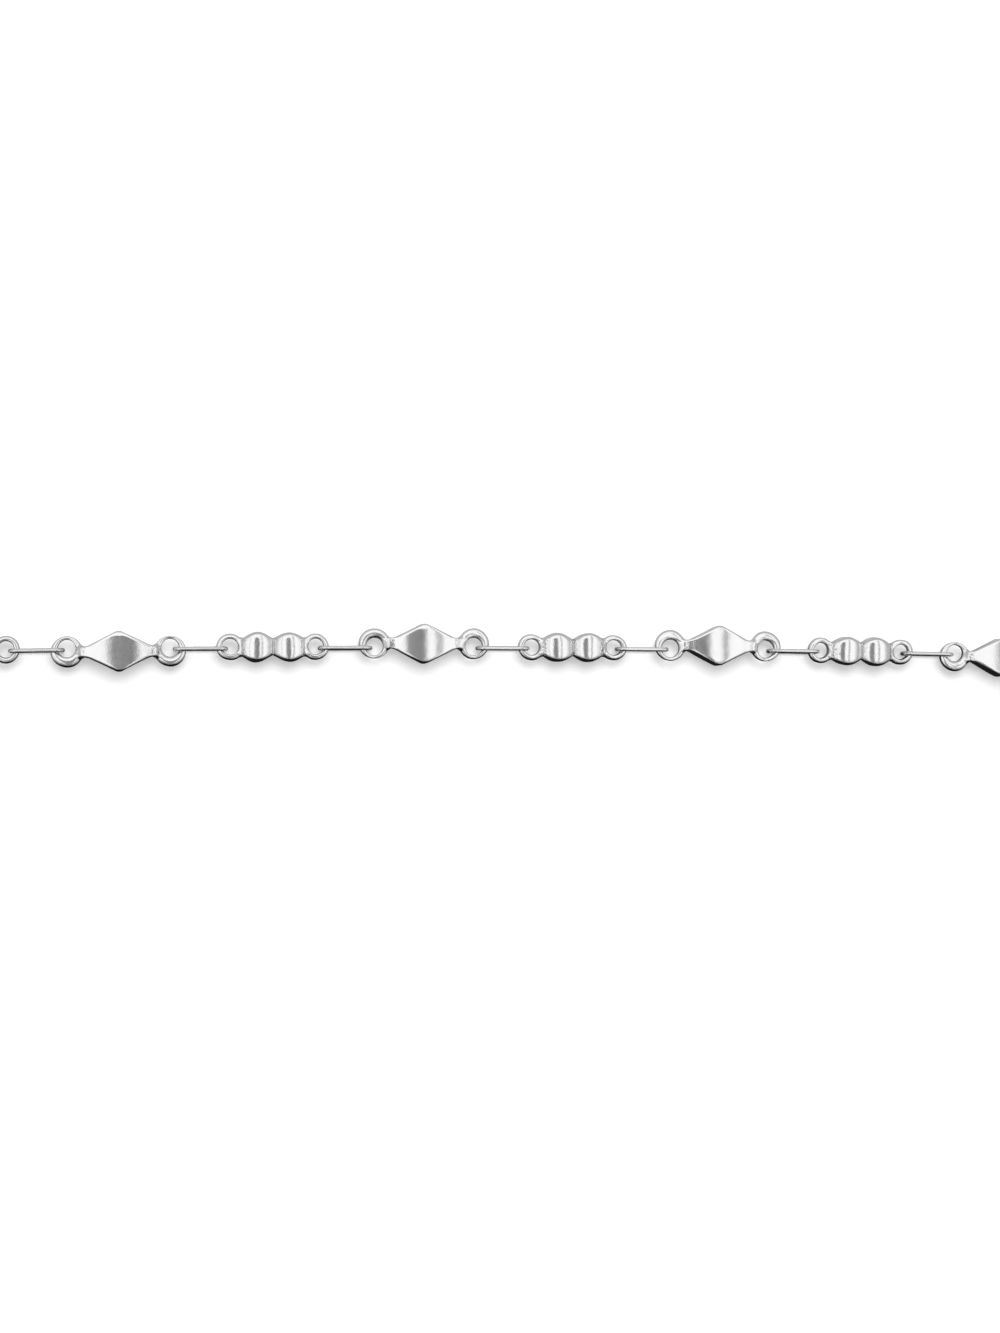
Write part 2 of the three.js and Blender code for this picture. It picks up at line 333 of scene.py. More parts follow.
def evened(vertices, quads, field, rounds=5):
    """Draws the vertices onto the surface and spreads them evenly over it."""
    pairs = np.stack([quads, np.roll(quads, -1, 1)], -1).reshape(-1, 2)
    first, second = pairs.T
    neighbours = np.bincount(first, minlength=len(vertices))[:, None]
    for turn in range(rounds):
        if turn < rounds - 2:
            middle = np.zeros_like(vertices)
            np.add.at(middle, first, vertices[second])
            vertices = vertices * 0.5 + middle / neighbours * 0.5
        slope = slope_of(field, vertices)
        steep = np.maximum((slope**2).sum(-1, keepdims=True), 1e-3)
        vertices = vertices - field(vertices)[:, None] * slope / steep
    return vertices


def seclusion(field, at, normal, reach):
    """How shut in each place is: 0 in the open, 1 deep in a hole or a corner."""
    return np.clip(1 - field(at + normal * reach) / reach, 0, 1)


# ---------- laying ----------


def axes_of(node, upright):
    """A node's own axes as columns, the middle of its box along them and the side that its
    weight leans to. upright says which of its moments is the upright one, from the least."""
    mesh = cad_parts[node].data
    mesh.calc_loop_triangles()
    corners = np.array([v.co for v in mesh.vertices], float)
    start = corners.mean(0)
    corners = corners - start
    faces = corners[np.array([t.vertices[:] for t in mesh.loop_triangles])]
    volume = np.einsum("ij,ij->i", faces[:, 0], np.cross(faces[:, 1], faces[:, 2])) / 6
    sums = faces.sum(1)
    weight = (volume[:, None] * sums).sum(0) / 4 / volume.sum()
    spread = np.einsum("i,ikj,ikl->jl", volume, faces, faces)
    spread += np.einsum("i,ij,il->jl", volume, sums, sums)
    spread = spread / 20 - volume.sum() * np.outer(weight, weight)
    columns = np.linalg.eigh(spread)[1]
    along, up = columns[:, 2], columns[:, upright]
    up = up * np.sign(up[2])
    round_the_loop = np.cross((0, 0, 1), start)
    along = along * np.sign(along @ round_the_loop)
    axes = np.stack([along, np.cross(up, along), up], 1)
    local = corners @ axes
    low, high = local.min(0), local.max(0)
    middle = (low + high) / 2
    place = Matrix.Translation(Vector(start + axes @ middle)) @ Matrix(axes).to_4x4()
    return place, high - low, np.sign(weight @ axes[:, 1] - middle[1])


def lay(name, nodes, vertices, faces, normals, marks, place, material):
    """Adds a piece to the scene in place of its nodes. marks are values kept at its vertices."""
    mesh = bpy.data.meshes.new(name)
    mesh.from_pydata(vertices, [], faces)
    for mark, values in marks.items():
        attribute = mesh.attributes.new(mark, "FLOAT", "POINT")
        attribute.data.foreach_set("value", np.asarray(values, np.float32))
    mesh.shade_smooth()
    mesh.transform(place)
    turn = np.array(place.to_3x3())
    mesh.normals_split_custom_set_from_vertices((normals @ turn.T).tolist())
    mesh.materials.append(material)
    piece = bpy.data.objects.new(name, mesh)
    bpy.context.scene.collection.objects.link(piece)
    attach(piece, BODY)
    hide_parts(*nodes)
    return piece


def nodes_named(start):
    """Names of the nodes that begin so, in order."""
    return sorted(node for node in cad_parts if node.startswith(start))


# ---------- diamond links ----------


POINT_REACH = 0.28 * MM
ARCH_REACH = 3 * MM
MARKS_BEFORE_EYE = 0.02 * MM
MARKS_SPREAD = 0.14 * MM


def with_eyelets(bar, at, size, half, hole_y, lips):
    """The bar with a drilled eyelet at each end. lips are how far the left and the right
    eyelet are worn towards their holes."""
    past_the_end = np.abs(at[..., 0]) - (half - size.eye + BAR_OVERLAP)
    bar = round_cut(bar, past_the_end, BAR_ROUNDING)
    eyes = [disc(at, end, 0, size.eye, size.plate, size.rim) for end in (-half, half)]
    solid = round_join(bar, np.minimum(*eyes), size.fillet)
    for end, lip in zip((-half, half), lips):
        solid = drilled(solid, at, end, hole_y, size.hole, lip)
    return solid


def diamond_field(size, half, hole_y, lips):
    """Distance to a diamond link whose holes lie at (-half, hole_y) and (half, hole_y)."""
    centre = size.half_width - size.point
    round_end = size.point * math.sin(size.slope)
    shoulder = centre + size.point * math.cos(size.slope)
    top_arch = size.arch if hole_y < 0 else size.back_arch
    under_arch = size.back_arch if hole_y < 0 else size.arch

    def field(at):
        reach = np.abs(at[..., 0])
        tip = centre + np.sqrt(np.maximum(size.point**2 - reach**2, 0))
        straight = shoulder - (reach - round_end) * math.tan(size.slope)
        width = np.where(reach < round_end, tip, straight)
        across = np.abs(at[..., 1])
        neck = across - size.neck_width
        sides = round_join((across - width) * math.cos(size.slope), neck, size.sweep)
        arch = np.where(at[..., 2] > 0, top_arch, under_arch)
        drop = arch - np.sqrt(arch**2 - np.minimum(reach, ARCH_REACH) ** 2)
        upright = np.abs(at[..., 2])
        faces = upright - (size.half_height - drop)
        faces = round_join(faces, upright - size.neck_height, BAR_ROUNDING)
        worn = size.edge + size.point_wear * fading(reach, POINT_REACH)
        bar = worn_cut(sides, faces, worn)
        return with_eyelets(bar, at, size, half, hole_y, lips)

    return field


def uneven(field, seed, silver, rough):
    """The field with the undulation of a polished face, outlines that sway a little, and
    cast marks where rough says."""
    slow = ripple(seed, SLOW_WAVE)
    quick = ripple(seed + 1, QUICK_WAVE)
    marks = ripple(seed + 2, MARK_WAVE)
    sway = [ripple(seed + turn, SWAY_WAVE) for turn in (3, 4)]

    def whole(at):
        faces = (slow(at) + QUICK_SHARE * quick(at)) * silver.undulation
        drift = np.stack([sway[0](at), sway[1](at), 0 * at[..., 0]], -1) * silver.sway
        return field(at + drift) + faces + marks(at) * rough(at) * silver.cast_depth

    return whole


def shaped(field, whole, rough, extent, cell):
    """Vertices, faces, normals and marks of a piece, cut out of its whole field."""
    vertices, quads = surface_net(whole, -extent / 2, extent / 2, cell)
    vertices = evened(vertices, quads, whole)
    normals = slope_of(whole, vertices)
    normals /= np.linalg.norm(normals, axis=1, keepdims=True)
    # Painted shade: how shut in each vertex is, kept as a mark that darkens the colour.
    shut_in = seclusion(field, vertices, normals, RECESS_REACH)
    return vertices, quads, normals, {CAST: rough(vertices), RECESS_SHADE: shut_in}


class BRACELET_OT_diamond_links(Operator):
    """Builds the diamond-faced links"""

    bl_idname = "bracelet.diamond_links"
    bl_label = "Diamond Links"

    def execute(self, context):
        size = context.scene.diamond_link
        silver = context.scene.silver
        material = silver_material("silver_diamond", silver, roughness=0.10, grain=0.4)
        for index, node in enumerate(nodes_named("diamond_link")):
            place, extent, leaning = axes_of(node, 0)
            half = extent[0] / 2 - size.eye
            seed = DIAMOND_SEED + SEED_STEP * index
            chance = np.random.default_rng(WEAR_SEED + SEED_STEP * index)
            strength = chance.uniform(FAINTEST, 1.0, 2)
            lips = chance.uniform(size.lip, size.dish, 2)
            field = diamond_field(size, half, -leaning * size.hole_shift, lips)

            def rough(at, half=half, strength=strength):
                neck = half - size.eye - MARKS_BEFORE_EYE
                necks = fading(np.abs(at[..., 0]) - neck, MARKS_SPREAD)
                return necks * np.where(at[..., 0] < 0, *strength)

            whole = uneven(field, seed, silver, rough)
            parts = shaped(field, whole, rough, extent, silver.cell)
            lay(node.replace("diamond_link", "diamond"), [node], *parts, place, material)
        return {"FINISHED"}


# ---------- bead links ----------


SECTION_POWER = 5
WIDTH_SWELL = 1.3
HEIGHT_SWELL = 0.8
MARKS_INSIDE_EYE = 0.05 * MM
NECK_SPREAD = 0.15 * MM
WAIST_SPREAD = 0.17 * MM


def bead_field(size, half, lips):
    """Distance to a link with two barrels between two eyelets. A barrel's section is between
    an oval and a rectangle, and swells towards its middle."""
    middle = size.spacing / 2

    def field(at):
        along = np.abs(np.abs(at[..., 0]) - middle) / size.barrel_length
        swell = np.maximum(1 - along**2, 0)
        wider = (size.barrel_width - size.pinch_width) * swell**WIDTH_SWELL
        higher = (size.barrel_height - size.pinch_height) * swell**HEIGHT_SWELL
        width = size.pinch_width + wider
        height = size.pinch_height + higher
        beside = (np.abs(at[..., 1]) / width) ** SECTION_POWER
        above = (np.abs(at[..., 2]) / height) ** SECTION_POWER
        section = (beside + above) ** (1 / SECTION_POWER)
        barrels = (section - 1) * np.minimum(width, height)
        return with_eyelets(barrels, at, size, half, 0, lips)

    return field


class BRACELET_OT_bead_links(Operator):
    """Builds the links with two barrels"""

    bl_idname = "bracelet.bead_links"
    bl_label = "Bead Links"

    def execute(self, context):
        size = context.scene.bead_link
        silver = context.scene.silver
        material = silver_material("silver_bead", silver, roughness=0.10, grain=0.5)
        for index, node in enumerate(nodes_named("bead_link")):
            place, extent, _ = axes_of(node, 0)
            half = extent[0] / 2 - size.eye
            seed = BEAD_SEED + SEED_STEP * index
            chance = np.random.default_rng(seed)
            strength = chance.uniform(FAINTEST, 1.0, 3)
            field = bead_field(size, half, chance.uniform(size.lip, size.dish, 2))

            def rough(at, half=half, strength=strength):
                waist = fading(at[..., 0], WAIST_SPREAD) * strength[2]
                neck = half - size.eye + MARKS_INSIDE_EYE
                necks = fading(np.abs(at[..., 0]) - neck, NECK_SPREAD)
                return waist + necks * np.where(at[..., 0] < 0, *strength[:2])

            whole = uneven(field, seed, silver, rough)
            parts = shaped(field, whole, rough, extent, silver.cell)
            lay(node.replace("bead_link", "beads"), [node], *parts, place, material)
        return {"FINISHED"}


# ---------- connectors ----------


WIRE_SIDES = 20
WIRE_WEAR = 0.02
WIRE_WAVE = 0.9 * MM
DULL_AND_SHADED_END = 0.5 * MM


def oval_path(half_length, half_height, corner, bend_parts=8, straight_parts=10):
    """Points and outward directions of an upright oval, in order round it."""
    sides = np.array([(1, 0, 1), (-1, 0, 1), (-1, 0, -1), (1, 0, -1)])
    centres = sides * (half_length - corner, 0, half_height - corner)
    points, outward = [], []
    for turn, centre in enumerate(centres):
        angles = (turn + np.arange(bend_parts + 1) / bend_parts) * math.pi / 2
        bend = np.stack([np.cos(angles), 0 * angles, np.sin(angles)], 1)
        run = centres[(turn + 1) % 4] - centre
        shares = np.arange(1, straight_parts)[:, None] / straight_parts
        points += [centre + corner * bend, centre + corner * bend[-1] + run * shares]
        outward += [bend, np.repeat(bend[-1:], straight_parts - 1, 0)]
    return np.concatenate(points), np.concatenate(outward)


def stood_up(place, lean_kept, drift):
    """The place with only a share of its lean kept, and drifted towards the loop's outside."""
    along, _, up = (place.col[number].xyz for number in range(3))
    up = up.lerp(Vector((0, 0, 1)), 1 - lean_kept)
    up = (up - along * up.dot(along)).normalized()
    side = up.cross(along)
    turn = Matrix((along, side, up)).transposed().to_4x4()
    return Matrix.Translation(place.translation - side * drift) @ turn


class BRACELET_OT_connectors(Operator):
    """Builds the wire ovals that join the links"""

    bl_idname = "bracelet.connectors"
    bl_label = "Connectors"

    def execute(self, context):
        size = context.scene.connector
        silver = context.scene.silver
        material = silver_material("silver_wire", silver, roughness=0.2, grain=0.4)
        angles = np.arange(WIRE_SIDES) * math.tau / WIRE_SIDES
        for index, node in enumerate(nodes_named("connector")):
            place, extent, _ = axes_of(node, 1)
            place = stood_up(place, size.lean_kept, size.drift)
            wire = size.wire
            points, outward = oval_path(extent[0] / 2 - wire, extent[2] / 2 - wire, size.corner)
            count = len(points)
            normals = outward[:, None] * np.cos(angles)[None, :, None]
            normals = normals + np.array([0, 1, 0]) * np.sin(angles)[None, :, None]
            worn = ripple(WIRE_SEED + index, WIRE_WAVE)
            centres = np.repeat(points[:, None], WIRE_SIDES, 1)
            thick = wire * (1 - WIRE_WEAR + WIRE_WEAR * worn(centres))
            vertices = (centres + normals * thick[..., None]).reshape(-1, 3)
            first = np.arange(count * WIRE_SIDES).reshape(count, WIRE_SIDES)
            after = np.roll(first, -1, 0)
            ring = [first, np.roll(first, -1, 1), np.roll(after, -1, 1), after]
            quads = np.stack(ring, -1).reshape(-1, 4)
            # Near their ends, inside the eyelets, the wires get cast marks and painted shade.
            ends = np.abs(vertices[:, 0]) > extent[0] / 2 - DULL_AND_SHADED_END
            marks = {CAST: ends * 0.25, RECESS_SHADE: ends * 0.3}
            name = node.replace("connector", "wire_oval")
            normals = normals.reshape(-1, 3)
            lay(name, [node], vertices, quads, normals, marks, place, material)
        return {"FINISHED"}


# ---------- clasp ----------


TAPER_START = 2.24 * MM
TAPER_LENGTH = 0.95 * MM
CLASP_ROUNDING = 0.2 * MM
TAIL_RIM = 0.22 * MM
TAIL_FILLET = 0.1 * MM
TAIL_LIP = 0.08 * MM
BODY_FILLET = 0.15 * MM
KNOB_BEHIND = 1.5 * MM
KNOB_BESIDE = 1.85 * MM
KNOB_HALF_HEIGHT = 0.5 * MM
KNOB_RIM = 0.2 * MM
KNOB_FILLET = 0.08 * MM
CLASP_ROOM = 4.8 * MM
TAIL_MARKS = 0.5
TAIL_MARKS_AT = 0.9 * MM
TAIL_MARKS_SPREAD = 0.2 * MM


def clasp_field(size, tail_x, tip_x, half_height):
    """Distance to the clasp, from its tail hole at tail_x to the tip of its hook."""
    body_start = tail_x + size.tail
    middle = (body_start + tip_x) / 2
    long = (tip_x - body_start) / 2
    far = tip_x - size.tip - size.opening

    def field(at):
        x, y, z = at[..., 0] - middle, at[..., 1], np.abs(at[..., 2])
        reach = np.maximum(np.hypot(x / long, y / size.half_width), 1e-3)
        steep = np.hypot(x / long**2, y / size.half_width**2) / reach
        oval = (reach - 1) / np.maximum(steep, 1e-3)
        taper = np.clip((at[..., 0] - (tip_x - TAPER_START)) / TAPER_LENGTH, 0, 1)
        taper = taper**2 * (3 - 2 * taper)
        height = half_height + (size.plate - half_height) * taper
        body = round_cut(oval, z - height, np.minimum(size.edge, height * 0.9))
        run = size.opening_length / 2
        inner = np.maximum(np.abs(at[..., 0] - (far - run)) - run, 0)
        opening = np.hypot(inner, y) - size.opening
        body = round_cut(body, -opening, CLASP_ROUNDING)
        neck = round_cut(np.abs(y) - size.tail_width, z - size.plate, CLASP_ROUNDING)
        neck = np.maximum(neck, at[..., 0] - (body_start + size.half_width / 2))
        neck = np.maximum(neck, tail_x + 0.8 * size.eye - at[..., 0])
        eye = disc(at, tail_x, 0, size.eye, size.plate, TAIL_RIM)
        body = round_join(body, round_join(neck, eye, TAIL_FILLET), BODY_FILLET)
        knob_x = middle - KNOB_BEHIND
        knob = disc(at, knob_x, KNOB_BESIDE, size.knob, KNOB_HALF_HEIGHT, KNOB_RIM)
        body = round_join(body, knob, KNOB_FILLET)
        return drilled(body, at, tail_x, 0, size.hole, TAIL_LIP)

    return field


class BRACELET_OT_clasp(Operator):
    """Builds the one-piece lobster clasp"""

    bl_idname = "bracelet.clasp"
    bl_label = "Clasp"

    def execute(self, context):
        size = context.scene.clasp
        silver = context.scene.silver
        material = silver_material("silver_clasp", silver, roughness=0.14, grain=0.6)
        low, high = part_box("lobster_clasp")
        extent = np.array(high - low)
        chain_y = high.y - size.half_width
        place = Matrix.Translation(((low.x + high.x) / 2, chain_y, (low.z + high.z) / 2))
        place = place @ Matrix.Rotation(math.pi, 4, "Z")
        tip_x = extent[0] / 2
        tail_x = size.eye - extent[0] / 2
        field = clasp_field(size, tail_x, tip_x, extent[2] / 2)
        around = np.array([extent[0], CLASP_ROOM, extent[2]])

        def rough(at):
            return TAIL_MARKS * fading(at[..., 0] - tail_x - TAIL_MARKS_AT, TAIL_MARKS_SPREAD)

        whole = uneven(field, CLASP_SEED, silver, rough)
        parts = shaped(field, whole, rough, around, silver.clasp_cell)
        lay("clasp", ["lobster_clasp"], *parts, place, material)
        return {"FINISHED"}


# ---------- finishes ----------


GRAIN_PER_METRE = 14000.0
PITS_PER_METRE = 6500.0
GRAIN_DEPTH = 0.008 * MM
PIT_DEPTH = 0.03 * MM


def group_tree(name, inputs, outputs):
    """An empty shader node group with the named sockets."""
    tree = bpy.data.node_groups.new(name, "ShaderNodeTree")
    for socket, kind, default in inputs:
        made = tree.interface.new_socket(socket, in_out="INPUT", socket_type=kind)
        made.default_value = default
    for socket, kind in outputs:
        tree.interface.new_socket(socket, in_out="OUTPUT", socket_type=kind)
    return tree, tree.nodes.new("NodeGroupInput"), tree.nodes.new("NodeGroupOutput")


def noise(tree, vector, scale, detail, roughness=0.5):
    """Noise at the vector. scale is a number or a socket."""
    node = tree.nodes.new("ShaderNodeTexNoise")
    node.inputs["Detail"].default_value = detail
    node.inputs["Roughness"].default_value = roughness
    tree.links.new(vector, node.inputs["Vector"])
    if isinstance(scale, bpy.types.NodeSocket):
        tree.links.new(scale, node.inputs["Scale"])
    else:
        node.inputs["Scale"].default_value = scale
    return node.outputs["Fac"]


def maths(tree, operation, *values):
    """One operation on numbers and sockets."""
    node = tree.nodes.new("ShaderNodeMath")
    node.operation = operation
    for socket, value in zip(node.inputs, values):
        if isinstance(value, bpy.types.NodeSocket):
            tree.links.new(value, socket)
        else:
            socket.default_value = value
    return node.outputs[0]


def ranged(tree, value, low, high, to_low, to_high, smooth=False):
    """The value with its range from low to high stretched from to_low to to_high."""
    node = tree.nodes.new("ShaderNodeMapRange")
    node.interpolation_type = "SMOOTHSTEP" if smooth else "LINEAR"
    tree.links.new(value, node.inputs["Value"])
    for socket, number in zip(
        ("From Min", "From Max", "To Min", "To Max"), (low, high, to_low, to_high)
    ):
        node.inputs[socket].default_value = number
    return node.outputs["Result"]


def polish_group():
    """The fine grain that a tumbled silver surface keeps, and a mask of its clouding."""
    tree, given, put = group_tree(
        "Polish grain",
        [
            ("Vector", "NodeSocketVector", (0, 0, 0)),
            ("Grain per metre", "NodeSocketFloat", GRAIN_PER_METRE),
        ],
        [("Height", "NodeSocketFloat"), ("Clouding", "NodeSocketFloat")],
    )
    fine = noise(tree, given.outputs["Vector"], given.outputs["Grain per metre"], 2.0, 0.6)
    broad_scale = maths(tree, "MULTIPLY", given.outputs["Grain per metre"], 0.16)
    broad = noise(tree, given.outputs["Vector"], broad_scale, 3.0)
    tree.links.new(fine, put.inputs["Height"])
    tree.links.new(ranged(tree, broad, 0.35, 0.7, 0, 1), put.inputs["Clouding"])
    return tree


def cast_group():
    """Pits and flow lines that the casting leaves where the polishing wheel can't reach."""
    tree, given, put = group_tree(
        "Cast marks",
        [
            ("Vector", "NodeSocketVector", (0, 0, 0)),
            ("Amount", "NodeSocketFloat", 0.0),
        ],
        [("Height", "NodeSocketFloat"), ("Pits", "NodeSocketFloat")],
    )
    pits = tree.nodes.new("ShaderNodeTexVoronoi")
    pits.inputs["Scale"].default_value = PITS_PER_METRE
    tree.links.new(given.outputs["Vector"], pits.inputs["Vector"])
    deep = ranged(tree, pits.outputs["Distance"], 0.05, 0.45, 0, 1)
    height = maths(tree, "MULTIPLY", deep, given.outputs["Amount"])
    shade = maths(tree, "SUBTRACT", 1.0, deep)
    tree.links.new(height, put.inputs["Height"])
    tree.links.new(maths(tree, "MULTIPLY", shade, given.outputs["Amount"]), put.inputs["Pits"])
    return tree


def place_group(tree, name, make):
    """The shared group of this name in the tree, made the first time it is asked for."""
    node = tree.nodes.new("ShaderNodeGroup")
    node.node_tree = bpy.data.node_groups.get(name) or make()
    return node


def marked(tree, mark):
    """A mark that a mesh keeps at its vertices."""
    node = tree.nodes.new("ShaderNodeAttribute")
    node.attribute_name = mark
    return node.outputs["Fac"]


def silver_material(name, silver, roughness, grain):
    """Polished silver with a fine grain, and cast marks with tarnish in their pits. Its recesses
    are darkened as painted shade.
    """
    material = bpy.data.materials.new(name)
    material.use_nodes = True
    tree = material.node_tree
    shader = tree.nodes["Principled BSDF"]
    shader.inputs["Metallic"].default_value = 1.0
    where = tree.nodes.new("ShaderNodeTexCoord").outputs["Object"]
    cast_amount, recess = marked(tree, CAST), marked(tree, RECESS_SHADE)

    polish = place_group(tree, "Polish grain", polish_group)
    cast = place_group(tree, "Cast marks", cast_group)
    tree.links.new(where, polish.inputs["Vector"])
    tree.links.new(where, cast.inputs["Vector"])
    tree.links.new(cast_amount, cast.inputs["Amount"])

    grain_bump = tree.nodes.new("ShaderNodeBump")
    grain_bump.inputs["Strength"].default_value = grain
    grain_bump.inputs["Distance"].default_value = GRAIN_DEPTH
    tree.links.new(polish.outputs["Height"], grain_bump.inputs["Height"])
    cast_bump = tree.nodes.new("ShaderNodeBump")
    cast_bump.inputs["Distance"].default_value = PIT_DEPTH
    tree.links.new(cast.outputs["Height"], cast_bump.inputs["Height"])
    tree.links.new(grain_bump.outputs["Normal"], cast_bump.inputs["Normal"])
    tree.links.new(cast_bump.outputs["Normal"], shader.inputs["Normal"])

    # Painted shade darkens the shut-in places, and tarnish darkens the cast pits, towards the
    # second colour.
    shade_and_pits = maths(tree, "MULTIPLY", recess, 0.75)
    shade_and_pits = maths(tree, "MAXIMUM", shade_and_pits, cast.outputs["Pits"])
    mix = tree.nodes.new("ShaderNodeMix")
    mix.data_type = "RGBA"
    mix.inputs["A"].default_value = (*silver.color, 1)
    mix.inputs["B"].default_value = (*silver.tarnish_and_shade, 1)
    tree.links.new(shade_and_pits, mix.inputs["Factor"])
    tree.links.new(mix.outputs["Result"], shader.inputs["Base Color"])

    clouded = ranged(tree, polish.outputs["Clouding"], 0, 1, roughness, roughness + 0.06)
    extra = maths(tree, "MULTIPLY", cast_amount, 0.15)
    tree.links.new(maths(tree, "ADD", clouded, extra), shader.inputs["Roughness"])
    return material


# ---------- studio ----------


FLOOR_DROP = 0.002 * MM
CARD_CLEARANCE = 1 * MM
SEAM_HEIGHT = 250 * MM
SEAM_REACH = 300 * MM
KEY_PLACE = (0, 120, 190)
KEY_SIZE = 160 * MM
KEY_POWER = 0.41


def card_material(name, darkest, lightest, core):
    """A mottled shape with soft edges, which stands out from the white round it. core is
    the part of the card's half width that has its full tone."""
    material = bpy.data.materials.new(name)
    material.use_nodes = True
    tree = material.node_tree
    tree.nodes.clear()
    where = tree.nodes.new("ShaderNodeTexCoord")
    split = tree.nodes.new("ShaderNodeSeparateXYZ")
    tree.links.new(where.outputs["Object"], split.inputs[0])
    x, y, _ = split.outputs
    beside = maths(tree, "POWER", maths(tree, "ABSOLUTE", x), 4.0)
    ahead = maths(tree, "POWER", maths(tree, "MAXIMUM", y, 0.0), 4.0)
    reach = maths(tree, "POWER", maths(tree, "ADD", beside, ahead), 0.25)
    edge = ranged(tree, reach, core, 1.0, 0.0, 1.0, True)
    mottle = noise(tree, where.outputs["Object"], 6.0, 3.0, 0.6)
    tone = ranged(tree, mottle, 0.4, 0.6, darkest, lightest)
    mix = tree.nodes.new("ShaderNodeMix")
    mix.inputs["B"].default_value = WHITE
    tree.links.new(edge, mix.inputs["Factor"])
    tree.links.new(tone, mix.inputs["A"])
    glow = tree.nodes.new("ShaderNodeEmission")
    tree.links.new(mix.outputs["Result"], glow.inputs["Color"])
    output = tree.nodes.new("ShaderNodeOutputMaterial")
    tree.links.new(glow.outputs["Emission"], output.inputs["Surface"])
    return material


def add_card(name, low, high, darkest, lightest, core):
    """A flat card between two corners at one height, which only the metal sees."""
    mesh = bpy.data.meshes.new(name)
    mesh.from_pydata([(-1, -1, 0), (1, -1, 0), (1, 1, 0), (-1, 1, 0)], [], [(0, 1, 2, 3)])
    mesh.materials.append(card_material(name, darkest, lightest, core))
    card = bpy.data.objects.new(name, mesh)
    card.location = (Vector(low) + Vector(high)) / 2
    card.scale = ((high[0] - low[0]) / 2, (high[1] - low[1]) / 2, 1)
    card.visible_camera = False
    card.visible_diffuse = False
    card.visible_shadow = False
    bpy.context.scene.collection.objects.link(card)
    return card


def floor_material(chain_y):
    """Matt white table top with a little glow of its own. The metal sees it grey behind the
    chain and dark in front of it."""
    material = bpy.data.materials.new("table_top")
    material.use_nodes = True
    tree = material.node_tree
    shader = tree.nodes["Principled BSDF"]
    shader.inputs["Roughness"].default_value = 0.9
    shader.inputs["Specular IOR Level"].default_value = 0.0
    shader.inputs["Emission Color"].default_value = (1, 1, 1, 1)
    shader.inputs["Emission Strength"].default_value = 0.26
    where = tree.nodes.new("ShaderNodeTexCoord").outputs["Object"]
    mottle = noise(tree, where, 900.0, 3.0)
    shade = ranged(tree, mottle, 0.3, 0.7, 0.80, 0.82)
    tree.links.new(shade, shader.inputs["Base Color"])

    split = tree.nodes.new("ShaderNodeSeparateXYZ")
    tree.links.new(where, split.inputs[0])
    seen = tree.nodes.new("ShaderNodeEmission")
    level = ranged(tree, split.outputs["Y"], chain_y - 0.5 * MM, chain_y + 0.5 * MM, 0.01, 0.5)
    tree.links.new(level, seen.inputs["Color"])
    path = tree.nodes.new("ShaderNodeLightPath")
    mix = tree.nodes.new("ShaderNodeMixShader")
    tree.links.new(path.outputs["Is Glossy Ray"], mix.inputs["Fac"])
    tree.links.new(shader.outputs[0], mix.inputs[1])
    tree.links.new(seen.outputs[0], mix.inputs[2])
    tree.links.new(mix.outputs[0], tree.nodes["Material Output"].inputs["Surface"])
    return material


def studio_world():
    """For the metal, white above, grey towards the horizon and dark in front of the chain.
    For all else, an even grey, lighter to the camera."""
    world = bpy.data.worlds.new("studio")
    world.use_nodes = True
    tree = world.node_tree
    tree.nodes.clear()
    split = tree.nodes.new("ShaderNodeSeparateXYZ")
    tree.links.new(tree.nodes.new("ShaderNodeTexCoord").outputs["Generated"], split.inputs[0])
    _, y, z = split.outputs
    tent = ranged(tree, z, 0.32, 0.74, 0.46, WHITE, True)
    fall = ranged(tree, y, -0.9, -0.2, 0, 1, True)
    light = maths(tree, "MULTIPLY", tent, fall)
    seen = tree.nodes.new("ShaderNodeBackground")
    tree.links.new(light, seen.inputs["Color"])
    path = tree.nodes.new("ShaderNodeLightPath")
    even = tree.nodes.new("ShaderNodeBackground")
    level = ranged(tree, path.outputs["Is Camera Ray"], 0, 1, 0.6, 0.85)
    tree.links.new(level, even.inputs["Color"])
    mix = tree.nodes.new("ShaderNodeMixShader")
    tree.links.new(path.outputs["Is Glossy Ray"], mix.inputs["Fac"])
    tree.links.new(even.outputs[0], mix.inputs[1])
    tree.links.new(seen.outputs[0], mix.inputs[2])
    output = tree.nodes.new("ShaderNodeOutputWorld")
    tree.links.new(mix.outputs[0], output.inputs["Surface"])
    return world


def add_soft_light(name, place, aim, size, power):
    """A square soft light that the metal doesn't mirror."""
    light = bpy.data.lights.new(name, "AREA")
    light.shape = "SQUARE"
    light.size = size
    light.energy = power
    lamp = bpy.data.objects.new(name, light)
    lamp.location = place
    lamp.rotation_euler = (Vector(aim) - Vector(place)).to_track_quat("-Z", "Y").to_euler()
    lamp.visible_glossy = False
    bpy.context.scene.collection.objects.link(lamp)
    return lamp


def add_camera(studio, aim):
    """The camera above the chain, leaning to the left, with the chain level in view."""
    data = bpy.data.cameras.new("camera")
    data.lens = studio.lens
    data.clip_start = 1 * MM
    data.clip_end = 10.0
    camera = bpy.data.objects.new("camera", data)
    back = Vector((-math.sin(studio.lean), 0, math.cos(studio.lean)))
    up = Vector((math.sin(studio.roll), math.cos(studio.roll), 0))
    right = up.cross(back).normalized()
    turn = Matrix((right, back.cross(right), back)).transposed().to_4x4()
    camera.matrix_world = Matrix.Translation(aim + back * studio.distance) @ turn
    bpy.context.scene.collection.objects.link(camera)
    bpy.context.scene.camera = camera
    return camera


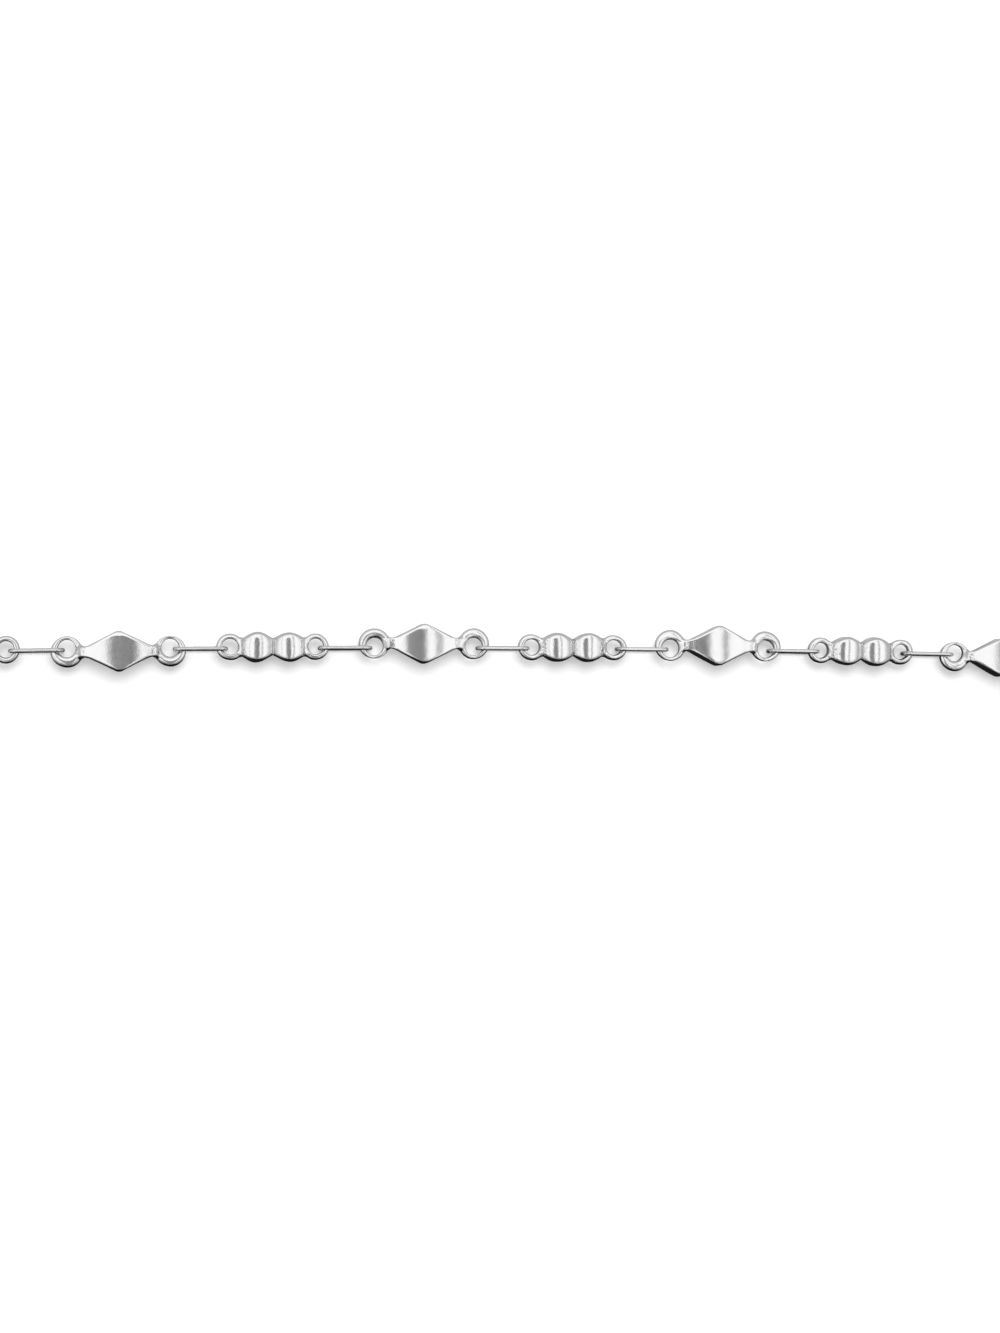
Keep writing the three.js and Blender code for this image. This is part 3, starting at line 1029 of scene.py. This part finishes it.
class BRACELET_OT_studio(Operator):
    """Sets out the table top, the lights and cards round it, and the camera"""

    bl_idname = "bracelet.studio"
    bl_label = "Studio"

    def execute(self, context):
        scene = context.scene
        studio = scene.studio
        low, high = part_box("diamond_link_01")
        start = (low + high) / 2
        aim = start + Vector((studio.aim_ahead, -studio.aim_below, 0))

        half = studio.floor_size / 2
        mesh = bpy.data.meshes.new("table_top")
        corners = [(-half, -half, 0), (half, -half, 0), (half, half, 0), (-half, half, 0)]
        mesh.from_pydata(corners, [], [(0, 1, 2, 3)])
        mesh.materials.append(floor_material(start.y))
        floor = bpy.data.objects.new("table_top", mesh)
        floor.location = (0, 0, -FLOOR_DROP)
        scene.collection.objects.link(floor)

        camera = add_camera(studio, aim)
        above = camera.location.z + CARD_CLEARANCE
        add_card(
            "camera_card",
            (aim.x - 45 * MM, aim.y - 150 * MM, above),
            (aim.x + 17 * MM, aim.y + 48 * MM, above),
            darkest=0.0,
            lightest=0.5,
            core=0.8,
        )
        add_card(
            "seam_card",
            (aim.x + 84 * MM, aim.y - SEAM_REACH, SEAM_HEIGHT),
            (aim.x + 138 * MM, aim.y + SEAM_REACH, SEAM_HEIGHT),
            darkest=0.38,
            lightest=0.42,
            core=0.4,
        )
        add_card(
            "far_seam_card",
            (aim.x - 226 * MM, aim.y - SEAM_REACH, SEAM_HEIGHT),
            (aim.x - 194 * MM, aim.y + SEAM_REACH, SEAM_HEIGHT),
            darkest=0.45,
            lightest=0.5,
            core=0.3,
        )
        scene.world = studio_world()
        add_soft_light("key", aim + Vector(KEY_PLACE) * MM, aim, KEY_SIZE, KEY_POWER)
        scene.view_settings.view_transform = "Standard"
        return {"FINISHED"}


# ---------- panel ----------


OPERATORS = (
    BRACELET_OT_diamond_links,
    BRACELET_OT_bead_links,
    BRACELET_OT_connectors,
    BRACELET_OT_clasp,
    BRACELET_OT_studio,
)
SETTINGS = {
    "diamond_link": DiamondLinkSettings,
    "bead_link": BeadLinkSettings,
    "connector": ConnectorSettings,
    "clasp": ClaspSettings,
    "silver": SilverSettings,
    "studio": StudioSettings,
}


class BRACELET_PT_panel(Panel):
    """Lists the bracelet's pieces and their sizes"""

    bl_idname = "BRACELET_PT_panel"
    bl_label = "Chain Bracelet"
    bl_space_type = "VIEW_3D"
    bl_region_type = "UI"
    bl_category = "Bracelet"

    def draw(self, context):
        for operator in OPERATORS:
            self.layout.operator(operator.bl_idname)
        for name, settings in SETTINGS.items():
            box = self.layout.box()
            box.label(text=name.replace("_", " ").capitalize())
            for setting in settings.__annotations__:
                box.prop(getattr(context.scene, name), setting)


def register():
    """Registers the classes and gives the scene its settings."""
    for item in (*SETTINGS.values(), *OPERATORS, BRACELET_PT_panel):
        bpy.utils.register_class(item)
    for name, settings in SETTINGS.items():
        setattr(bpy.types.Scene, name, PointerProperty(type=settings))


def unregister():
    """Takes the settings and the classes away again."""
    for name in SETTINGS:
        delattr(bpy.types.Scene, name)
    for item in (BRACELET_PT_panel, *reversed(OPERATORS), *reversed(SETTINGS.values())):
        bpy.utils.unregister_class(item)


def main():
    """Builds the bracelet and its studio."""
    register()
    for operator in OPERATORS:
        group, name = operator.bl_idname.split(".")
        getattr(getattr(bpy.ops, group), name)()


if __name__ == "__main__":
    main()
